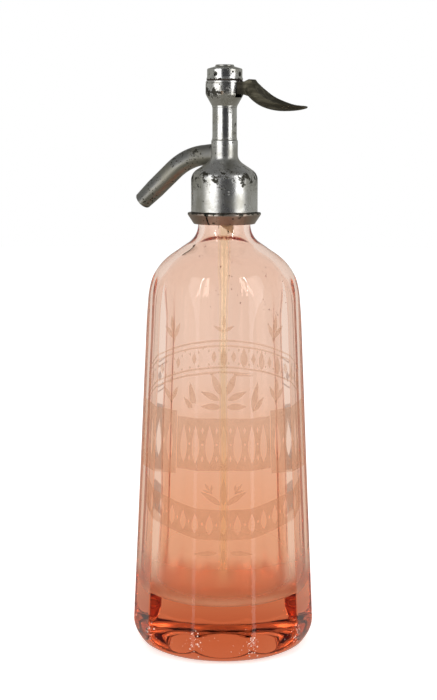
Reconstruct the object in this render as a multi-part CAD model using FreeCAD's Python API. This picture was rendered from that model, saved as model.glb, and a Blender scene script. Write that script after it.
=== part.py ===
"""Soda siphon: a ten-sided thick glass bottle with a screwed metal head, a curved spout and a thumb lever.

The origin is the centre of the bottle's foot, +Z runs up the bottle's axis, the lever points along +X and
the spout along -X. All lengths are millimetres.

How it works: pressing the lever's blade down turns it about a cross pin in the housing. The lever's inner
fork then lifts the collar of the piston rod against the return spring under the cap, the rubber face at the
rod's foot leaves the seat, and the water that comes up the dip tube runs out of the spout.
"""

import FreeCAD, Part
import math
import os

Vector = FreeCAD.Vector

# Bottle
FACETS = 10                    # flat sides of the glass
FACET_TURN = 18.0              # degrees from the lever's direction to the first flat's middle
BASE_R = 50.9                  # where the side would meet the table, before the foot is rounded
FOOT_ROUNDING = 12.6           # large round between the side and the resting face
SHOULDER_R = 41.3              # corner of the side and the shoulder's slope, before rounding
SHOULDER_Z = 208.2
SHOULDER_ROUNDING = 38.0
NECK_R = 14.2
SHOULDER_RISE = 18.3           # from there up to the corner of the slope and the neck
NECK_ROUNDING = 11.8
GLASS_WALL = 6.0               # at a ridge between two flats
SHOULDER_DROP = 3.0            # how much lower the cavity's shoulder lies than the outer one
NECK_BORE_R = 9.8
BASE_THICKNESS = 29.0          # solid glass below the cavity
FLOOR_ROUNDING = 12.0
BEAD_R = 15.4                  # the lip that the split ring grips
NECK_HEIGHT = 13.8             # from the slope's corner up to the lip
BEAD_HEIGHT = 6.7
BEAD_ROUNDING = 1.0
LIP_EASE = 0.6                 # small round at the mouth

# Split ring on the neck
RING_DROP = 7.1                # how far the ring reaches below the lip
RING_FOOT_R = 16.6
RING_FLANGE_R = 19.9
RING_FLANGE_DROP = 2.1         # the flange's sharp edge, below the lip's underside
RING_FLANGE_EDGE = 1.1
RING_SLEEVE_GAP = 0.4          # from the threaded part's top to the top of the lip
RING_SPLIT = 0.4               # width of the split between the halves
RING_SPLIT_TURN = -84.0        # direction of the split that faces the front, degrees from +X
RING_CLEARANCE = 0.1           # ring to glass

# Head body
SKIRT_R = 18.05
SKIRT_GAP = 0.25               # from the ring's flange up to the skirt
SKIRT_HEIGHT = 20.75           # up to the corner of the skirt and the dome, before rounding
SKIRT_ROUNDING = 6.5
SKIRT_BORE_R = 16.6
HEAD_NECK_R = 7.2
DOME_RISE = 7.3                # up to the corner of the dome and the head's neck, before rounding
HEAD_NECK_HEIGHT = 10.6
HEAD_NECK_ROUNDING = 6.0
EDGE_EASE = 0.4                # small round on turned edges
GASKET_THICKNESS = 2.0
GASKET_R = 16.2
CHAMBER_R = 4.6                # water chamber behind the spout

# Valve seat and nipple
SEAT_R = 5.0
SEAT_DEPTH = 13.0              # length of the insert in the head
SEAT_RIM_R = 2.7
SEAT_RIM_HEIGHT = 2.1
SEAT_BORE_R = 1.6
NIPPLE_R = 3.45
NIPPLE_LENGTH = 8.4

# Dip tube and its sleeve
TUBE_R = 3.45
TUBE_BORE_R = 2.0
TUBE_END_GAP = 3.5             # between the tube's foot and the cavity's floor
TUBE_TOP_GAP = 0.3             # between the tube and the nipple above it
TUBE_FIT = 0.03
SLEEVE_R = 5.1
SLEEVE_DROP = 14.2             # from the nipple's end to the low side of the slanting cut
SLEEVE_CUT_ANGLE = 41.0
SLEEVE_CUT_TURN = 36.0         # direction of the low side, degrees from +X
SLEEVE_TOP_GAP = 0.2

# Column
COLUMN_R = 6.6
COLUMN_FOOT_R = 6.95           # slight foot above the seam
COLUMN_FOOT_HEIGHT = 1.6
COLUMN_HEIGHT = 17.3
COLUMN_SPIGOT_R = 4.8          # the screwed ends
COLUMN_SPIGOT_LOW = 3.0
COLUMN_SPIGOT_HIGH = 3.9
COLUMN_BORE_R = 3.0
PACKING_R = 4.0
PACKING_HEIGHT = 3.4
BUSH_HEIGHT = 4.0
PACKING_LIP = 0.6
THREAD_FIT = 0.05

# Lever housing
HOUSING_FOOT_R = 6.8
HOUSING_WAIST = 0.9            # height where the bulb begins to swell
HOUSING_R = 10.3
HOUSING_BULGE = 7.1            # height of the corner where it turns upright, before rounding
HOUSING_BULGE_ROUNDING = 4.0
HOUSING_HEIGHT = 14.3
GROOVE_DROP = 1.4              # from the housing's top to the turned line
GROOVE_DEPTH = 0.25
HOUSING_FLOOR = 0.9            # metal between the column's spigot and the lever's chamber
HOUSING_CHAMBER_R = 6.2
SLOT_WIDTH = 6.0               # the lever's way out
SLOT_STEP = 0.5                # from the chamber's floor up to the slot's

# Cap
WASHER_THICKNESS = 0.4
CAP_FOOT_R = 10.0
CAP_R = 9.5
CAP_FOOT_HEIGHT = 1.6
CAP_HEIGHT = 5.9               # up to the cap's rim
CAP_BOSS_R = 5.0
CAP_BOSS_RISE = 1.3            # from the rim to the boss's corner
CAP_CROWN = 0.9                # from the boss's corner to the top
CAP_ROUNDING = 0.8
CAP_PLUG_R = 7.9
CAP_PLUG_LENGTH = 1.6
SPRING_POCKET_R = 4.3
CAP_ROOF = 2.4                 # metal above the spring's pocket
SPANNER_HOLES = 4
SPANNER_HOLE_R = 1.35
SPANNER_HOLE_DEPTH = 2.4
SPANNER_HOLE_RISE = 3.0        # above the cap's seam
SPANNER_TURN = 4.0

# Piston rod, valve face and spring
ROD_R = 1.5
ROD_FIT = 0.05                 # running clearance in the packing and the bush
ROD_CLEARANCE = 0.5            # where it runs free
ROD_TAIL = 5.0                 # rod above the collar, inside the spring
CUP_R = 3.6
CUP_HEIGHT = 2.3
FACE_R = 2.95
FACE_THICKNESS = 2.1
FACE_STAND = 0.8               # how far the rubber stands out of its cup
SEAT_TOUCH = 0.1
COLLAR_R = 4.2
COLLAR_THICKNESS = 1.3
SPRING_WIRE_R = 0.4
SPRING_R = 3.0                 # middle of the wire
SPRING_TURNS = 6
SPRING_TOUCH = 0.05

# Lever
PIVOT_X = 4.6
PIVOT_DEPTH = 6.6              # below the housing's top
PIN_R = 1.0
PIN_FIT = 0.05
NOSE_R = 1.1                   # round end of each prong
NOSE_RISE = 0.8                # nose above the pivot
NOSE_TOUCH = 0.15              # free play below the collar
SHANK_WIDTH = 5.4
FORK_GAP = 0.25                # rod to prong
SHANK_TOP_GAP = 0.8            # below the housing's top
SHANK_UNDER = 0.4              # below the pivot
SHANK_EASE = 0.5
SHANK_REACH = 7.9              # from the bulb out to the knuckle
KNUCKLE_RISE = 7.3             # above the pivot
SHANK_END = 3.3                # from the knuckle to the shank's end inside the blade
BLADE_REACH = 4.2              # from the bulb out to the blade's root
BLADE_LENGTH = 37.7

# Sections across the blade: place from root to tip as a share of its length, half width, and the
# heights of its rim, of the middle of its top and of its keel, from the pivot's height.
BLADE_SECTIONS = (
    (0.00, 2.4, 2.4, 4.8, -0.4),
    (0.08, 3.1, 3.2, 6.5, -3.0),
    (0.15, 3.8, 3.5, 5.9, -4.9),
    (0.24, 4.8, 1.5, 2.0, -6.8),
    (0.36, 5.8, -1.8, -3.1, -8.4),
    (0.51, 6.5, -4.3, -6.3, -9.5),
    (0.68, 6.5, -6.2, -8.0, -9.8),
    (0.84, 5.4, -6.9, -8.1, -9.5),
    (0.94, 3.7, -7.2, -8.0, -9.0),
    (1.00, 1.7, -7.6, -8.0, -8.5),
)

# Spout
SPOUT_R = 5.5
SPOUT_TIP_R = 4.95
SPOUT_BORE_R = 3.0
SPOUT_SPIGOT_R = 3.7
SPOUT_SPIGOT_FIT = 0.05
SPOUT_ROOT_DROP = 6.7          # its line at the column's axis, below the head's top
SPOUT_BEND_X = 25.5            # corner of its line, before the bend is rounded
SPOUT_LEAN = 6.0               # degrees below level before the bend
SPOUT_DROOP = 38.5             # degrees below level after the bend
SPOUT_RUN = 39.7               # from the corner to the tip
SPOUT_BEND_R = 40.0
SPOUT_TAPER = 11.0             # length of the tapered tip
SPOUT_LIP_EASE = 0.5

AXIS = Vector(0, 0, 1)
ORIGIN = Vector(0, 0, 0)


def rounded_outline(corners):
    """Closed wire in the XZ plane: straight runs joined by tangent arcs, from (x, z, rounding) corners."""
    points = [Vector(x, 0, z) for x, z, rounding in corners]
    count = len(points)
    turns = []
    for index, (x, z, rounding) in enumerate(corners):
        here = points[index]
        back = points[index - 1] - here
        ahead = points[(index + 1) % count] - here
        if rounding <= 0:
            turns.append((here, None, here))
            continue
        half_angle = back.getAngle(ahead) / 2
        room = 0.49 * min(back.Length, ahead.Length)
        setback = min(rounding / math.tan(half_angle), room)
        radius = setback * math.tan(half_angle)
        back.normalize()
        ahead.normalize()
        inward = back + ahead
        inward.normalize()
        middle = here + inward * (radius / math.sin(half_angle) - radius)
        turns.append((here + back * setback, middle, here + ahead * setback))
    edges = []
    for index, (enter, middle, leave) in enumerate(turns):
        if middle is not None:
            edges.append(Part.Arc(enter, middle, leave).toShape())
        following = turns[(index + 1) % count][0]
        if leave.distanceToPoint(following) > 1e-6:
            edges.append(Part.LineSegment(leave, following).toShape())
    return Part.Wire(edges)


def turned(corners):
    """Solid turned about the bottle's axis from (radius, height, rounding) corners."""
    return Part.Face(rounded_outline(corners)).revolve(ORIGIN, AXIS, 360)


def ring(inner, outer, low, high):
    """Plain tube about the bottle's axis."""
    return turned([(inner, low, 0), (outer, low, 0), (outer, high, 0), (inner, high, 0)])


def spun(shape, degrees):
    """Copy of a shape, turned about the bottle's axis."""
    copy = shape.copy()
    copy.rotate(ORIGIN, AXIS, degrees)
    return copy


def across(half_width, corners):
    """Solid of a side outline in the XZ plane, with its thickness along Y."""
    face = Part.Face(rounded_outline(corners))
    face.translate(Vector(0, -half_width, 0))
    return face.extrude(Vector(0, 2 * half_width, 0))


# Heights and places that follow from the sizes above
NECK_Z = SHOULDER_Z + SHOULDER_RISE
BEAD_Z = NECK_Z + NECK_HEIGHT
LIP_Z = BEAD_Z + BEAD_HEIGHT
LEDGE_Z = LIP_Z + GASKET_THICKNESS
RING_GRIP_Z = BEAD_Z - RING_DROP
RING_FLANGE_Z = BEAD_Z - RING_FLANGE_DROP
RING_SLEEVE_TOP = LIP_Z - RING_SLEEVE_GAP
SKIRT_Z = RING_FLANGE_Z + RING_FLANGE_EDGE + SKIRT_GAP
SKIRT_CORNER_Z = SKIRT_Z + SKIRT_HEIGHT
HEAD_NECK_Z = SKIRT_CORNER_Z + DOME_RISE
HEAD_TOP_Z = HEAD_NECK_Z + HEAD_NECK_HEIGHT
SPOUT_ROOT_Z = HEAD_TOP_Z - SPOUT_ROOT_DROP
CHAMBER_Z = LEDGE_Z + SEAT_DEPTH
SEAT_Z = CHAMBER_Z + SEAT_RIM_HEIGHT
NIPPLE_Z = LEDGE_Z - NIPPLE_LENGTH
SLEEVE_LOW_Z = NIPPLE_Z - SLEEVE_DROP
PACKING_Z = HEAD_TOP_Z - COLUMN_SPIGOT_LOW + PACKING_LIP
BUSH_Z = PACKING_Z + PACKING_HEIGHT
COLUMN_TOP_Z = HEAD_TOP_Z + COLUMN_HEIGHT
HOUSING_WAIST_Z = COLUMN_TOP_Z + HOUSING_WAIST
HOUSING_BULGE_Z = COLUMN_TOP_Z + HOUSING_BULGE
HOUSING_FLOOR_Z = COLUMN_TOP_Z + COLUMN_SPIGOT_HIGH + HOUSING_FLOOR
SLOT_FLOOR_Z = HOUSING_FLOOR_Z + SLOT_STEP
HOUSING_TOP_Z = COLUMN_TOP_Z + HOUSING_HEIGHT
GROOVE_Z = HOUSING_TOP_Z - GROOVE_DROP
CAP_Z = HOUSING_TOP_Z + WASHER_THICKNESS
CAP_PLUG_Z = CAP_Z - CAP_PLUG_LENGTH
CAP_TOP = CAP_Z + CAP_HEIGHT + CAP_BOSS_RISE + CAP_CROWN
POCKET_TOP = CAP_TOP - CAP_ROOF
PIVOT_Z = HOUSING_TOP_Z - PIVOT_DEPTH
NOSE_Z = PIVOT_Z + NOSE_RISE
COLLAR_Z = NOSE_Z + NOSE_R + NOSE_TOUCH
COLLAR_TOP = COLLAR_Z + COLLAR_THICKNESS
ROD_TOP_Z = COLLAR_TOP + ROD_TAIL
FACE_Z = SEAT_Z + SEAT_TOUCH
CUP_Z = FACE_Z + FACE_STAND
SHANK_TOP_Z = HOUSING_TOP_Z - SHANK_TOP_GAP
SHANK_UNDER_Z = PIVOT_Z - SHANK_UNDER
KNUCKLE_X = HOUSING_R + SHANK_REACH
KNUCKLE_Z = PIVOT_Z + KNUCKLE_RISE
SHANK_END_X = KNUCKLE_X + SHANK_END
BLADE_ROOT_X = HOUSING_R + BLADE_REACH


def side_radius(height):
    """Radius of the bottle's straight side at a height, along a ridge."""
    return BASE_R + (SHOULDER_R - BASE_R) * height / SHOULDER_Z


def bottle_outside():
    """Round outside of the glass, before the flats are cut."""
    return turned([
        (0, 0, 0),
        (BASE_R, 0, FOOT_ROUNDING),
        (SHOULDER_R, SHOULDER_Z, SHOULDER_ROUNDING),
        (NECK_R, NECK_Z, NECK_ROUNDING),
        (NECK_R, BEAD_Z, 0),
        (BEAD_R, BEAD_Z, BEAD_ROUNDING),
        (BEAD_R, LIP_Z, BEAD_ROUNDING),
        (0, LIP_Z, 0),
    ])


def bottle_cavity():
    """Round inside of the glass, open at the lip."""
    slope = (NECK_Z - SHOULDER_Z) / (SHOULDER_R - NECK_R)
    shoulder_r = SHOULDER_R - GLASS_WALL
    shoulder_z = SHOULDER_Z - SHOULDER_DROP
    neck_z = shoulder_z + slope * (shoulder_r - NECK_BORE_R)
    floor_r = side_radius(BASE_THICKNESS) - GLASS_WALL
    above = LIP_Z + LIP_EASE
    cavity = turned([
        (0, BASE_THICKNESS, 0),
        (floor_r, BASE_THICKNESS, FLOOR_ROUNDING),
        (shoulder_r, shoulder_z, SHOULDER_ROUNDING - GLASS_WALL),
        (NECK_BORE_R, neck_z, NECK_ROUNDING + GLASS_WALL),
        (NECK_BORE_R, above, 0),
        (0, above, 0),
    ])
    mouth = Part.makeCone(NECK_BORE_R, NECK_BORE_R + 2 * LIP_EASE, 2 * LIP_EASE, Vector(0, 0, LIP_Z - LIP_EASE))
    return cavity.fuse(mouth)


def facet_cutter():
    """Wedge outside one flat: the flat leans with the side and runs out in an arch at both ends."""
    inset = math.cos(math.pi / FACETS)
    low = -1.0
    high = NECK_Z
    clear = BASE_R + 10
    outline = [
        (side_radius(low) * inset, low, 0),
        (clear, low, 0),
        (clear, high, 0),
        (side_radius(high) * inset, high, 0),
    ]
    return across(clear * math.tan(math.pi / FACETS), outline)


def glass_bottle():
    cutter = facet_cutter()
    glass = bottle_outside()
    for number in range(FACETS):
        glass = glass.cut(spun(cutter, FACET_TURN + number * 360.0 / FACETS))
    return glass.cut(bottle_cavity())


def neck_ring():
    """Whole ring: it grips below the lip, and its upper part is screwed into the skirt."""
    grip_r = NECK_R + RING_CLEARANCE
    pocket_r = BEAD_R + RING_CLEARANCE
    flange_top = RING_FLANGE_Z + RING_FLANGE_EDGE
    return turned([
        (grip_r, RING_GRIP_Z, 0),
        (RING_FOOT_R, RING_GRIP_Z, EDGE_EASE),
        (RING_FLANGE_R, RING_FLANGE_Z, EDGE_EASE),
        (RING_FLANGE_R, flange_top, EDGE_EASE),
        (SKIRT_BORE_R - THREAD_FIT, flange_top, 0),
        (SKIRT_BORE_R - THREAD_FIT, RING_SLEEVE_TOP, 0),
        (pocket_r, RING_SLEEVE_TOP, 0),
        (pocket_r, BEAD_Z - RING_CLEARANCE, 0),
        (grip_r, BEAD_Z - RING_CLEARANCE, 0),
    ])


def neck_ring_half(side):
    """One half of the split ring, on the given side of the split."""
    reach = RING_FLANGE_R + 5
    height = RING_SLEEVE_TOP - RING_GRIP_Z + 10
    corner = Vector(-reach, RING_SPLIT / 2, RING_GRIP_Z - 5)
    keep = Part.makeBox(2 * reach, reach, height, corner)
    return neck_ring().common(spun(keep, RING_SPLIT_TURN + side))


def bottle_gasket():
    return ring(NECK_BORE_R, GASKET_R, LIP_Z, LEDGE_Z)


def head_outside():
    """Bell skirt, dome and neck of the head, still solid."""
    return turned([
        (0, SKIRT_Z, 0),
        (SKIRT_R, SKIRT_Z, EDGE_EASE),
        (SKIRT_R, SKIRT_CORNER_Z, SKIRT_ROUNDING),
        (HEAD_NECK_R, HEAD_NECK_Z, HEAD_NECK_ROUNDING),
        (HEAD_NECK_R, HEAD_TOP_Z, EDGE_EASE),
        (0, HEAD_TOP_Z, 0),
    ])


def head_body():
    skirt_bore = Part.makeCylinder(SKIRT_BORE_R, LEDGE_Z, ORIGIN)
    seat_bore = Part.makeCylinder(SEAT_R, CHAMBER_Z)
    chamber = Part.makeCylinder(CHAMBER_R, HEAD_TOP_Z)
    column_bore_z = HEAD_TOP_Z - COLUMN_SPIGOT_LOW
    column_bore = Part.makeCylinder(COLUMN_SPIGOT_R, COLUMN_SPIGOT_LOW, Vector(0, 0, column_bore_z))
    body = head_outside().cut(skirt_bore).cut(seat_bore).cut(chamber).cut(column_bore)
    return body.cut(spout_socket(SPOUT_SPIGOT_R))


def spout_direction(degrees):
    """Unit vector towards -X, that many degrees below level."""
    angle = math.radians(degrees)
    return Vector(-math.cos(angle), 0, -math.sin(angle))


def spout_points():
    """Root on the column's axis, corner and tip of the spout's line."""
    root = Vector(0, 0, SPOUT_ROOT_Z)
    corner = root + spout_direction(SPOUT_LEAN) * (SPOUT_BEND_X / math.cos(math.radians(SPOUT_LEAN)))
    tip = corner + spout_direction(SPOUT_DROOP) * SPOUT_RUN
    return root, corner, tip


def spout_line(stop_short):
    """The spout's line from its root to a point before its tip: run, tangent bend, run."""
    root, corner, tip = spout_points()
    back = (root - corner).normalize()
    ahead = (tip - corner).normalize()
    half_turn = math.radians(SPOUT_DROOP - SPOUT_LEAN) / 2
    setback = SPOUT_BEND_R * math.tan(half_turn)
    inward = (back + ahead).normalize()
    middle = corner + inward * (SPOUT_BEND_R / math.cos(half_turn) - SPOUT_BEND_R)
    enter = corner + back * setback
    leave = corner + ahead * setback
    stop = tip - ahead * stop_short
    return Part.Wire([
        Part.LineSegment(root, enter).toShape(),
        Part.Arc(enter, middle, leave).toShape(),
        Part.LineSegment(leave, stop).toShape(),
    ])


def spout_tube(radius, stop_short):
    """Round rod of a radius along the spout's line."""
    section = Part.Wire([Part.Circle(Vector(0, 0, SPOUT_ROOT_Z), spout_direction(SPOUT_LEAN), radius).toShape()])
    return spout_line(stop_short).makePipeShell([section], True, False)


def spout_socket(radius):
    """Rod along the spout's first run, from the column's axis out past the head's neck."""
    return Part.makeCylinder(radius, 2 * HEAD_NECK_R, Vector(0, 0, SPOUT_ROOT_Z), spout_direction(SPOUT_LEAN))


def spout():
    """Curved tube, saddled onto the head's neck, with a spigot in the head's wall and a tapered tip."""
    tip = spout_points()[2]
    ahead = spout_direction(SPOUT_DROOP)
    start = tip - ahead * SPOUT_TAPER
    taper = Part.makeCone(SPOUT_R, SPOUT_TIP_R, SPOUT_TAPER, start, ahead)
    outside = spout_tube(SPOUT_R, SPOUT_TAPER).fuse(taper).cut(head_outside())
    wall = Part.makeCylinder(HEAD_NECK_R, HEAD_TOP_Z).cut(Part.makeCylinder(CHAMBER_R, HEAD_TOP_Z))
    spigot = spout_socket(SPOUT_SPIGOT_R - SPOUT_SPIGOT_FIT).common(wall)
    ease = Part.makeCone(SPOUT_BORE_R, SPOUT_BORE_R + SPOUT_LIP_EASE, SPOUT_LIP_EASE,
                         tip - ahead * SPOUT_LIP_EASE, ahead)
    return outside.fuse(spigot).cut(spout_tube(SPOUT_BORE_R, 0)).cut(ease).removeSplitter()


def valve_seat():
    """Screwed insert: raised seat above, nipple for the dip tube's sleeve below."""
    return turned([
        (SEAT_BORE_R, NIPPLE_Z, 0),
        (NIPPLE_R, NIPPLE_Z, 0),
        (NIPPLE_R, LEDGE_Z, 0),
        (SEAT_R - THREAD_FIT, LEDGE_Z, 0),
        (SEAT_R - THREAD_FIT, CHAMBER_Z, 0),
        (SEAT_RIM_R, CHAMBER_Z, 0),
        (SEAT_RIM_R, SEAT_Z, 0),
        (SEAT_BORE_R, SEAT_Z, 0),
    ])


def tube_sleeve():
    """Rubber sleeve that joins the nipple and the dip tube, cut off aslant at its foot."""
    top = LEDGE_Z - SLEEVE_TOP_GAP
    middle_z = SLEEVE_LOW_Z + SLEEVE_R * math.tan(math.radians(SLEEVE_CUT_ANGLE))
    sleeve = ring(NIPPLE_R + TUBE_FIT, SLEEVE_R, SLEEVE_LOW_Z, top)
    size = 6 * SLEEVE_R
    waste = Part.makeBox(size, size, size, Vector(-size / 2, -size / 2, -size))
    waste.rotate(ORIGIN, Vector(0, 1, 0), SLEEVE_CUT_ANGLE)
    waste.rotate(ORIGIN, AXIS, SLEEVE_CUT_TURN)
    waste.translate(Vector(0, 0, middle_z))
    return sleeve.cut(waste)


def dip_tube():
    low = BASE_THICKNESS + TUBE_END_GAP
    return turned([
        (TUBE_BORE_R, low, 0),
        (TUBE_R, low, EDGE_EASE),
        (TUBE_R, NIPPLE_Z - TUBE_TOP_GAP, EDGE_EASE),
        (TUBE_BORE_R, NIPPLE_Z - TUBE_TOP_GAP, 0),
    ])


def column():
    """Turned tube between the head and the lever housing, with a screwed spigot at each end."""
    low = HEAD_TOP_Z - COLUMN_SPIGOT_LOW
    foot = HEAD_TOP_Z + COLUMN_FOOT_HEIGHT
    high = COLUMN_TOP_Z + COLUMN_SPIGOT_HIGH
    spigot_r = COLUMN_SPIGOT_R - THREAD_FIT
    return turned([
        (ROD_R + ROD_CLEARANCE, low, 0),
        (spigot_r, low, 0),
        (spigot_r, HEAD_TOP_Z, 0),
        (COLUMN_FOOT_R, HEAD_TOP_Z, EDGE_EASE),
        (COLUMN_R, foot, EDGE_EASE),
        (COLUMN_R, COLUMN_TOP_Z, 0),
        (spigot_r, COLUMN_TOP_Z, 0),
        (spigot_r, high, 0),
        (COLUMN_BORE_R, high, 0),
        (COLUMN_BORE_R, BUSH_Z + BUSH_HEIGHT, 0),
        (PACKING_R, BUSH_Z + BUSH_HEIGHT, 0),
        (PACKING_R, PACKING_Z, 0),
        (ROD_R + ROD_CLEARANCE, PACKING_Z, 0),
    ])


def rod_packing():
    return ring(ROD_R + ROD_FIT, PACKING_R - THREAD_FIT, PACKING_Z, BUSH_Z)


def rod_bush():
    return ring(ROD_R + ROD_FIT, PACKING_R - THREAD_FIT, BUSH_Z, BUSH_Z + BUSH_HEIGHT)


def lever_housing():
    """Bulb on the column, hollow for the fork and the collar, with a slot for the lever."""
    spigot_top = COLUMN_TOP_Z + COLUMN_SPIGOT_HIGH
    bulb = turned([
        (0, COLUMN_TOP_Z, 0),
        (HOUSING_FOOT_R, COLUMN_TOP_Z, EDGE_EASE),
        (HOUSING_FOOT_R, HOUSING_WAIST_Z, 2 * EDGE_EASE),
        (HOUSING_R, HOUSING_BULGE_Z, HOUSING_BULGE_ROUNDING),
        (HOUSING_R, GROOVE_Z - GROOVE_DEPTH, 0),
        (HOUSING_R - GROOVE_DEPTH, GROOVE_Z, 0),
        (HOUSING_R, GROOVE_Z + GROOVE_DEPTH, 0),
        (CAP_FOOT_R, HOUSING_TOP_Z, EDGE_EASE),
        (0, HOUSING_TOP_Z, 0),
    ])
    socket = Part.makeCylinder(COLUMN_SPIGOT_R, COLUMN_SPIGOT_HIGH, Vector(0, 0, COLUMN_TOP_Z))
    rod_hole = Part.makeCylinder(ROD_R + ROD_CLEARANCE, HOUSING_TOP_Z, Vector(0, 0, spigot_top))
    chamber = Part.makeCylinder(HOUSING_CHAMBER_R, HOUSING_TOP_Z, Vector(0, 0, HOUSING_FLOOR_Z))
    plug_bore = Part.makeCylinder(CAP_PLUG_R, HOUSING_TOP_Z, Vector(0, 0, CAP_PLUG_Z - THREAD_FIT))
    slot = Part.makeBox(2 * HOUSING_R, SLOT_WIDTH, HOUSING_TOP_Z, Vector(0, -SLOT_WIDTH / 2, SLOT_FLOOR_Z))
    pin_hole = Part.makeCylinder(PIN_R, 4 * HOUSING_R, Vector(PIVOT_X, -2 * HOUSING_R, PIVOT_Z), Vector(0, 1, 0))
    return bulb.cut(socket).cut(rod_hole).cut(chamber).cut(plug_bore).cut(slot).cut(pin_hole)


def lever_pin():
    """Cross pin through the housing and the lever, flush with the bulb."""
    reach = math.sqrt(HOUSING_R ** 2 - (PIVOT_X + PIN_R) ** 2)
    return Part.makeCylinder(PIN_R, 2 * reach, Vector(PIVOT_X, -reach, PIVOT_Z), Vector(0, 1, 0))


def cap_washer():
    return ring(CAP_PLUG_R + THREAD_FIT, CAP_FOOT_R - EDGE_EASE, HOUSING_TOP_Z, CAP_Z)


def cap():
    """Screwed cap with a low crown, holes for a pin spanner, and the spring's pocket inside."""
    rim_z = CAP_Z + CAP_HEIGHT
    boss_z = rim_z + CAP_BOSS_RISE
    body = turned([
        (SPRING_POCKET_R, CAP_PLUG_Z, 0),
        (CAP_PLUG_R - THREAD_FIT, CAP_PLUG_Z, 0),
        (CAP_PLUG_R - THREAD_FIT, CAP_Z, 0),
        (CAP_FOOT_R, CAP_Z, EDGE_EASE),
        (CAP_R, CAP_Z + CAP_FOOT_HEIGHT, EDGE_EASE),
        (CAP_R, rim_z, CAP_ROUNDING),
        (CAP_BOSS_R, boss_z, CAP_ROUNDING),
        (CAP_BOSS_R, CAP_TOP, CAP_ROUNDING),
        (0, CAP_TOP, 0),
        (0, POCKET_TOP, 0),
        (SPRING_POCKET_R, POCKET_TOP, 0),
    ])
    start = Vector(CAP_R - SPANNER_HOLE_DEPTH, 0, CAP_Z + SPANNER_HOLE_RISE)
    hole = Part.makeCylinder(SPANNER_HOLE_R, 2 * SPANNER_HOLE_DEPTH, start, Vector(1, 0, 0))
    for number in range(SPANNER_HOLES):
        body = body.cut(spun(hole, SPANNER_TURN + number * 360.0 / SPANNER_HOLES))
    return body


def piston_rod():
    """Rod with the cup for the valve face at its foot and the collar that the lever lifts."""
    cup_top = CUP_Z + CUP_HEIGHT
    recess_top = FACE_Z + FACE_THICKNESS
    return turned([
        (0, recess_top, 0),
        (FACE_R + THREAD_FIT, recess_top, 0),
        (FACE_R + THREAD_FIT, CUP_Z, 0),
        (CUP_R, CUP_Z, 0),
        (CUP_R, cup_top, 0),
        (ROD_R, cup_top, 0),
        (ROD_R, COLLAR_Z, 0),
        (COLLAR_R, COLLAR_Z, 0),
        (COLLAR_R, COLLAR_TOP, 0),
        (ROD_R, COLLAR_TOP, 0),
        (ROD_R, ROD_TOP_Z, 0),
        (0, ROD_TOP_Z, 0),
    ])


def valve_face():
    return Part.makeCylinder(FACE_R, FACE_THICKNESS, Vector(0, 0, FACE_Z))


def spring_point(turns, foot, rise):
    """Point on the middle of the spring's wire after that many turns."""
    angle = 2 * math.pi * turns
    return Vector(SPRING_R * math.cos(angle), SPRING_R * math.sin(angle), foot + rise * turns)


def return_spring():
    """One unbroken coil of wire between the collar and the cap's pocket, from arcs of a quarter turn."""
    foot = COLLAR_TOP + SPRING_TOUCH + SPRING_WIRE_R
    head = POCKET_TOP - SPRING_TOUCH - SPRING_WIRE_R
    rise = (head - foot) / SPRING_TURNS
    edges = []
    for number in range(4 * SPRING_TURNS):
        ends = [spring_point((number + part) / 4.0, foot, rise) for part in (0, 0.5, 1)]
        edges.append(Part.Arc(*ends).toShape())
    path = Part.Wire(edges)
    start = spring_point(0, foot, rise)
    section = Part.Wire([Part.Circle(start, edges[0].tangentAt(edges[0].FirstParameter), SPRING_WIRE_R).toShape()])
    samples = [spring_point(step / 24.0, foot, rise) for step in range(24 * SPRING_TURNS + 1)]
    far = [(one, two) for at, one in enumerate(samples) for two in samples[at + 12:]]
    least = min(one.distanceToPoint(two) for one, two in far) - 2 * SPRING_WIRE_R
    print("least gap between the spring's turns", round(least, 2))
    return path.makePipeShell([section], True, False)


def lever_shank():
    """Plate with the fork and the pivot, from the rod out to the knuckle above the blade."""
    nose_low = NOSE_Z - NOSE_R
    nose_high = NOSE_Z + NOSE_R
    shoulder_x = COLLAR_R + 1.6
    return across(SHANK_WIDTH / 2, [
        (-NOSE_R, nose_low, NOSE_R),
        (-NOSE_R, nose_high, NOSE_R),
        (shoulder_x, nose_high, SHANK_EASE),
        (CAP_PLUG_R - SHANK_EASE, CAP_PLUG_Z - 2 * SHANK_EASE, SHANK_EASE),
        (CAP_PLUG_R + SHANK_EASE, SHANK_TOP_Z, SHANK_EASE),
        (KNUCKLE_X - 4, SHANK_TOP_Z, 2.0),
        (KNUCKLE_X, KNUCKLE_Z, 1.2),
        (SHANK_END_X, KNUCKLE_Z - 4, 1.2),
        (SHANK_END_X - 2, SHANK_UNDER_Z - 2, 2.0),
        (HOUSING_R + 4, SHANK_UNDER_Z - 0.6, 2.0),
        (HOUSING_R - 1, SHANK_UNDER_Z, 1.0),
        (PIVOT_X + 1, PIVOT_Z - 2 * PIN_R, 1.0),
        (PIVOT_X - 1, PIVOT_Z - 2 * PIN_R, 1.0),
    ])


def blade_section(share, half_width, rim, top, keel):
    """Cross-section of the blade: a dished or crowned top arc and a keeled under arc."""
    x = BLADE_ROOT_X + share * BLADE_LENGTH
    left = Vector(x, -half_width, PIVOT_Z + rim)
    right = Vector(x, half_width, PIVOT_Z + rim)
    upper = Part.Arc(left, Vector(x, 0, PIVOT_Z + top), right).toShape()
    under = Part.Arc(right, Vector(x, 0, PIVOT_Z + keel), left).toShape()
    return Part.Wire([upper, under])


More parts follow.
